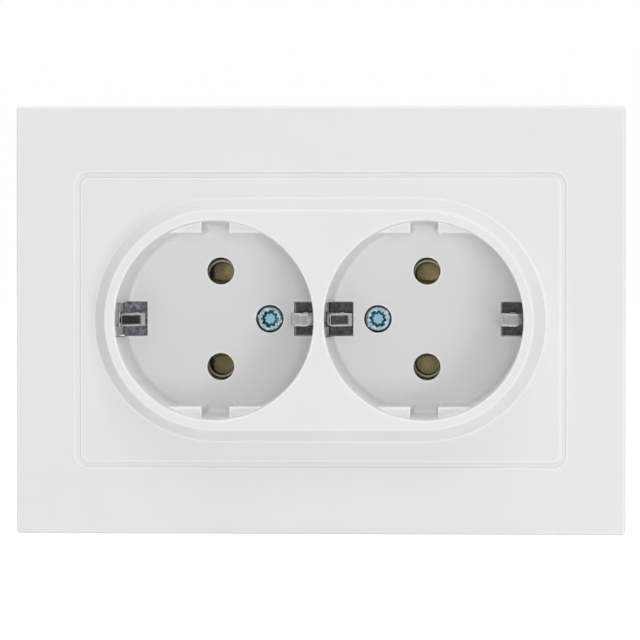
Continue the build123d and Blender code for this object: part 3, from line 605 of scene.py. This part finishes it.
# Claw screws and terminal screws: pan-headed, each turning or travelling on its own.
# Modelled once for each length and seated where the drawn ones stand.
pan_height_share = 0.72
pan_shank_share = 0.6
terminal_head_height = 0.0018
terminal_shank_radius = 0.0015
claw_low, claw_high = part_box("upper_claw_screw")
claw_head_radius = (claw_high.z - claw_low.z) / 2
claw_head_height = pan_height_share * claw_head_radius
claw_pattern = screw_piece(
    "claw_pattern", claw_head_radius, claw_head_height, claw_head_radius,
    pan_shank_share * claw_head_radius, claw_high.y - claw_low.y - claw_head_height,
)
for node, turn in (("upper_claw_screw", 65), ("lower_claw_screw", -115)):
    low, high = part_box(node)
    seat = Vector(((low.x + high.x) / 2, low.y + claw_head_height, (low.z + high.z) / 2))
    made = seated(claw_pattern, node + "_threaded", node, seat, Vector((0, -1, 0)), turn)
    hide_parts(node)
bpy.data.objects.remove(claw_pattern)
for node, body, outward, turn in (
    ("line_terminal_screw", "line_screw", Vector((0, 0, 1)), 35),
    ("neutral_terminal_screw", "neutral_screw", Vector((0, 0, -1)), 35),
    ("earth_terminal_screw", "earth_screw", Vector((-1, 0, 0)), 70),
):
    low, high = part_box(node)
    middle = (low + high) / 2
    reach = abs((high - low).dot(outward)) / 2
    head_radius = (high.y - low.y) / 2
    pattern = screw_piece(
        "terminal_pattern", head_radius, terminal_head_height, head_radius, terminal_shank_radius,
        2 * reach - terminal_head_height,
    )
    seat = middle + outward * (reach - terminal_head_height)
    made = seated(pattern, node + "_threaded", body, seat, outward, turn)
    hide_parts(node)
    bpy.data.objects.remove(pattern)

# Earth clips: folded spring strip, nickel plated, with a tongue that bears on the plug's side.
# Plugs polish the nose of the tongue, while the foot, deep in its pocket, is painted dark as painted
# shade.
nose_start, nose_stop = -0.0127, -0.0117
shaded_foot_start, shaded_foot_stop = -0.0043, -0.0028
tongue_half = 0.0013
border_highlight_start, border_highlight_stop = tongue_half - 0.00055, tongue_half - 0.0002
wing_start, wing_stop = tongue_half, tongue_half + 0.0001
wing_sheen = 0.15
border_highlight_nickel = (0.93, 0.93, 0.92, 1)
nose_nickel = (0.66, 0.66, 0.66, 1)
wing_beige = (0.7, 0.66, 0.58, 1)
shaded_foot_grey = (0.11, 0.11, 0.11, 1)
shaded_foot_black = (0.006, 0.007, 0.009, 1)
clip_band, clip_band_in, clip_band_out = new_group(
    "clip_band",
    [("Start", "NodeSocketFloat", 0.0), ("Stop", "NodeSocketFloat", 0.01)],
    [("Mask", "NodeSocketFloat")],
)
clip_front = clip_band.nodes.new("ShaderNodeSeparateXYZ")
clip_spot = clip_band.nodes.new("ShaderNodeTexCoord").outputs["Object"]
clip_band.links.new(clip_spot, clip_front.inputs[0])
clip_fade = clip_band.nodes.new("ShaderNodeMapRange")
clip_fade.interpolation_type = "SMOOTHSTEP"
clip_band.links.new(clip_front.outputs["Y"], clip_fade.inputs["Value"])
clip_band.links.new(clip_band_in.outputs["Start"], clip_fade.inputs["From Min"])
clip_band.links.new(clip_band_in.outputs["Stop"], clip_fade.inputs["From Max"])
clip_band.links.new(clip_fade.outputs["Result"], clip_band_out.inputs["Mask"])


def clip_finish(name, bright, dull, shaded_foot_bright, shaded_foot_dull):
    """Nickel with a painted highlight on its edges and border, a polished nose, pale wings beside the
    tongue and a mottled foot painted dark as shade.
    """
    finish = metal(
        name, bright=bright, dull=dull, rub_and_highlight=(0.95, 0.95, 0.93, 1), grime_and_shade=(0.03, 0.03, 0.03, 1),
        grime_and_shade_reach=0.0004, patch_scale=500.0, speck_scale=2600.0, edge=0.0003, score_depth=0.00002,
        stretch=(2500.0, 300.0, 4000.0),
    )
    tree = finish.node_tree
    shaded_foot = placed(
        tree, tarnish, bright=shaded_foot_bright, dull=shaded_foot_dull, patch_scale=1300.0, speck_scale=3500.0
    )
    spot = tree.nodes.new("ShaderNodeSeparateXYZ")
    tree.links.new(tree.nodes.new("ShaderNodeTexCoord").outputs["Object"], spot.inputs[0])
    aside = maths(tree, "ABSOLUTE", spot.outputs["Z"])
    # The tongue's edges get a near-white border: a painted highlight
    overlaid(finish, spread(tree, aside, border_highlight_start, border_highlight_stop, 0.0, 1.0), border_highlight_nickel)
    overlaid(finish, spread(tree, aside, wing_start, wing_stop, 0.0, 1.0), wing_beige)
    polish = placed(tree, clip_band, start=nose_start, stop=nose_stop)
    overlaid(finish, polish.outputs["Mask"], nose_nickel)
    # The foot, deep in its pocket, is overlaid with the mottled dark tone as painted shade
    depth = placed(tree, clip_band, start=shaded_foot_start, stop=shaded_foot_stop)
    overlaid(finish, depth.outputs["Mask"], shaded_foot.outputs["Color"])
    bare = spread(tree, aside, wing_start, wing_stop, 1.0, wing_sheen)
    tree.links.new(bare, tree.nodes["Principled BSDF"].inputs["Metallic"])
    return finish


# The two clips on the cups' left walls are darker copies of the nickel: painted dark reflections of the
# shaded cup floors. The pale copy goes on the two clips on the right walls
shaded_black_nickel = clip_finish(
    "shaded_black_nickel", (0.07, 0.065, 0.065, 1), (0.012, 0.012, 0.016, 1),
    (0.34, 0.37, 0.41, 1), (0.035, 0.042, 0.055, 1),
)
shaded_brown_nickel = clip_finish(
    "shaded_brown_nickel", (0.17, 0.125, 0.1, 1), (0.045, 0.036, 0.034, 1), shaded_foot_grey, shaded_foot_black
)
pale_nickel = clip_finish(
    "pale_nickel", (0.66, 0.655, 0.645, 1), (0.54, 0.53, 0.515, 1), shaded_foot_grey, shaded_foot_black
)
dress(shaded_black_nickel, "earth_clip_left_outer")
dress(shaded_brown_nickel, "earth_clip_right_inner")
dress(pale_nickel, "earth_clip_left_inner", "earth_clip_right_outer")

# Socket cover and frame: white thermoplastic, injection moulded, with a satin gloss.
# The frame clips over the support plate, and the cover is screwed down through both recesses.
# The rub tone here is a painted highlight along the white mouldings' edges
white_skin = dict(
    tone=(0.8, 0.8, 0.802, 1), shade=(0.787, 0.787, 0.79, 1), rub_and_highlight=(0.96, 0.96, 0.96, 1),
    grain_scale=5000.0, flow_scale=45.0, gloss=0.32, gloss_spread=0.05, grain_depth=0.000004,
)
cover_white = plastic("cover_white", edge=0.0008, glow=0.3, **white_skin)
dress(cover_white, "socket_cover", "frame")

# Cover lip: a thin flange moulded round the panel's edge, which lies in the frame's groove.
# It stands just below the frame's face, so the joint shows as a fine double line.
lip_clear = 0.00004
lip_offset = -0.00003
lip_width = 0.00092
lip_depth = 0.00026
lip_corner = 0.0017
lip_corner_steps = 12
lip_drop = 0.0002
lip_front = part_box("frame")[0].y + lip_drop
lip_reach = lip_clear + lip_width
panel_low, panel_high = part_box("socket_cover")
bpy.ops.mesh.primitive_plane_add(
    size=1.0, location=(lip_offset, lip_front, 0), rotation=(math.pi / 2, 0, 0)
)
cover_lip = bpy.context.object
cover_lip.name = "cover_lip"
cover_lip.scale = (
    panel_high.x - panel_low.x + 2 * lip_reach, panel_high.z - panel_low.z + 2 * lip_reach, 1
)
bpy.ops.object.transform_apply(location=True, rotation=True, scale=True)
bpy.ops.object.mode_set(mode="EDIT")
bpy.ops.mesh.select_all(action="SELECT")
bpy.ops.mesh.bevel(offset=lip_corner + lip_reach, segments=lip_corner_steps, affect="VERTICES")
bpy.ops.mesh.select_all(action="SELECT")
bpy.ops.mesh.inset(thickness=lip_width)
bpy.ops.mesh.delete(type="FACE")
bpy.ops.mesh.select_all(action="SELECT")
bpy.ops.mesh.extrude_region_move(TRANSFORM_OT_translate={"value": (0, lip_depth, 0)})
bpy.ops.mesh.select_all(action="SELECT")
bpy.ops.mesh.remove_doubles(threshold=weld_gap)
bpy.ops.mesh.normals_make_consistent(inside=False)
bpy.ops.object.mode_set(mode="OBJECT")
lip_white = plastic("lip_white", edge=0.0002, glow=0.0, **white_skin)
cover_lip.data.materials.append(lip_white)
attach(cover_lip, "socket")

# Cover screws: pan-headed machine screws, one down in each recess, that pull the cover to the base.
# They were driven by hand, so their slots stand at different angles.
cover_low, cover_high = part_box("cover_screws")
cover_head_radius = (cover_high.z - cover_low.z) / 2
cover_head_height = pan_height_share * cover_head_radius
cover_seat = cover_low.y + cover_head_height
cover_left = cover_low.x + cover_head_radius
cover_right = cover_high.x - cover_head_radius
cover_pattern = screw_piece(
    "cover_pattern", cover_head_radius, cover_head_height, cover_head_radius,
    pan_shank_share * cover_head_radius, cover_high.y - cover_low.y - cover_head_height,
)
for side, across, turn in (("left", cover_left, -12), ("right", cover_right, 37)):
    seat = Vector((across, cover_seat, 0))
    made = seated(cover_pattern, "cover_screw_" + side, "socket", seat, Vector((0, -1, 0)), turn)
    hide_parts("cover_screws")
bpy.data.objects.remove(cover_pattern)

# Shadow rings: thin rings of near-black steel, one round each cover screw's head, as painted shadow in the
# gap.
# Each lies on the floor of the counterbore and fills the gap beside the head.
shadow_ring_clear = 0.00001
shadow_ring_width = 0.00022
shadow_ring_height = 0.0009
shadow_ring_radius = cover_head_radius + shadow_ring_clear
shadow_ring_steel = metal(
    "shadow_ring_steel",
    bright=(0.05, 0.055, 0.06, 1), dull=(0.025, 0.03, 0.034, 1), rub_and_highlight=(0.07, 0.075, 0.08, 1),
    grime_and_shade=(0.01, 0.011, 0.012, 1), grime_and_shade_reach=0.0006, patch_scale=400.0, speck_scale=3000.0,
    edge=0.00005, score_depth=0.00001, stretch=(3000.0, 3000.0, 3000.0),
)
for side, across in (("left", cover_left), ("right", cover_right)):
    shadow_ring = sheet_ring(
        "cover_screw_shadow_ring_" + side, (across, cover_seat - shadow_ring_height / 2, 0),
        shadow_ring_radius, shadow_ring_radius, shadow_ring_height, shadow_ring_width,
    )
    shadow_ring.data.materials.append(shadow_ring_steel)
    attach(shadow_ring, "socket")

# Floor: a wide pale paper sheet that the socket stands on, with its faint shadow.
# It is clear from underneath, so the socket can be looked at from there too.
floor_gap = 0.0001
floor_size = 6.0
paper_white = (0.9, 0.9, 0.9, 1)
paper_roughness = 0.8
paper_shine = 1.1
paper_shine_share = 0.85
bpy.ops.mesh.primitive_plane_add(
    size=floor_size, location=(0, 0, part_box("frame")[0].z - floor_gap)
)
floor = bpy.context.object
floor.name = "floor"
floor.visible_shadow = False
floor_paper, paper_tree, paper_shader = new_finish("floor_paper")
paper_shader.inputs["Base Color"].default_value = paper_white
paper_shader.inputs["Roughness"].default_value = paper_roughness
paper_glow = paper_tree.nodes.new("ShaderNodeEmission")
paper_glow.inputs["Strength"].default_value = paper_shine
paper_rays = paper_tree.nodes.new("ShaderNodeLightPath").outputs
paper_seen = maths(paper_tree, "ADD", paper_rays["Is Camera Ray"], paper_rays["Is Glossy Ray"])
paper_share = maths(
    paper_tree, "MULTIPLY_ADD", paper_seen, paper_shine_share, paper_rays["Is Transmission Ray"],
    clamp=True,
)
paper_top = paper_tree.nodes.new("ShaderNodeMixShader")
paper_tree.links.new(paper_share, paper_top.inputs["Fac"])
paper_tree.links.new(paper_shader.outputs[0], paper_top.inputs[1])
paper_tree.links.new(paper_glow.outputs[0], paper_top.inputs[2])
paper_side = paper_tree.nodes.new("ShaderNodeMixShader")
paper_back = paper_tree.nodes.new("ShaderNodeNewGeometry").outputs["Backfacing"]
paper_clear = paper_tree.nodes.new("ShaderNodeBsdfTransparent")
paper_tree.links.new(paper_back, paper_side.inputs["Fac"])
paper_tree.links.new(paper_top.outputs[0], paper_side.inputs[1])
paper_tree.links.new(paper_clear.outputs[0], paper_side.inputs[2])
paper_tree.links.new(paper_side.outputs[0], paper_tree.nodes["Material Output"].inputs["Surface"])
floor.data.materials.append(floor_paper)

# Studio light: a pale room, brightest overhead and a little to the right, that looks plain white.
# Soft boxes stand in front, above and low on the right; the one in front shows in no metal.
room_axis = (0.17, 0.0, 0.985)
room_peak = 1.06
world = bpy.data.worlds.new("pale_room")
bpy.context.scene.world = world
world.use_nodes = True
room = world.node_tree
room_light = room.nodes["Background"]
room_light.inputs["Color"].default_value = (1, 1, 1, 1)
room_way = room.nodes.new("ShaderNodeVectorMath")
room_way.operation = "DOT_PRODUCT"
room_way.inputs[1].default_value = room_axis
room.links.new(room.nodes.new("ShaderNodeTexCoord").outputs["Generated"], room_way.inputs[0])
room_strength = spread(room, room_way.outputs["Value"], 0.0, 1.0, 0.0, room_peak)
room.links.new(room_strength, room_light.inputs["Strength"])
room_plain = room.nodes.new("ShaderNodeBackground")
room_plain.inputs["Color"].default_value = (1, 1, 1, 1)
room_plain.inputs["Strength"].default_value = 1.0
room_rays = room.nodes.new("ShaderNodeLightPath").outputs
room_seen = maths(room, "ADD", room_rays["Is Camera Ray"], room_rays["Is Glossy Ray"])
room_share = maths(room, "ADD", room_seen, room_rays["Is Transmission Ray"], clamp=True)
room_mix = room.nodes.new("ShaderNodeMixShader")
room.links.new(room_share, room_mix.inputs["Fac"])
room.links.new(room_light.outputs[0], room_mix.inputs[1])
room.links.new(room_plain.outputs[0], room_mix.inputs[2])
room.links.new(room_mix.outputs[0], room.nodes["World Output"].inputs["Surface"])


def soft_box(name, place, size, watts, mirrored):
    """A square area lamp that faces the middle of the socket, and may show in bright metal."""
    bpy.ops.object.light_add(type="AREA", location=place)
    lamp = bpy.context.object
    lamp.name = name
    lamp.data.size = size
    lamp.data.energy = watts
    lamp.rotation_euler = (-Vector(place)).to_track_quat("-Z", "Y").to_euler()
    lamp.visible_glossy = mirrored


soft_box("box_front", (0.125, -1.192, 0.063), 0.3, 2.72, False)
soft_box("box_above", (0.000, -0.410, 1.128), 0.6, 3.25, True)
soft_box("box_low_right", (0.545, -1.026, -0.290), 0.3, 1.85, True)

# Camera: a long lens a metre in front, a little to the right of and above the middle.
# It aims at the centre of the frame's face, so the view is nearly square on.
camera_place = Vector((0.063, -1.0599, 0.019))
camera_aim = Vector((0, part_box("frame")[0].y, 0))
bpy.ops.object.camera_add(location=camera_place)
camera = bpy.context.object
camera.data.lens = 300.0
camera.data.sensor_width = 36.0
camera.data.clip_end = 20.0
camera.rotation_euler = (camera_aim - camera_place).to_track_quat("-Z", "Y").to_euler()
bpy.context.scene.camera = camera
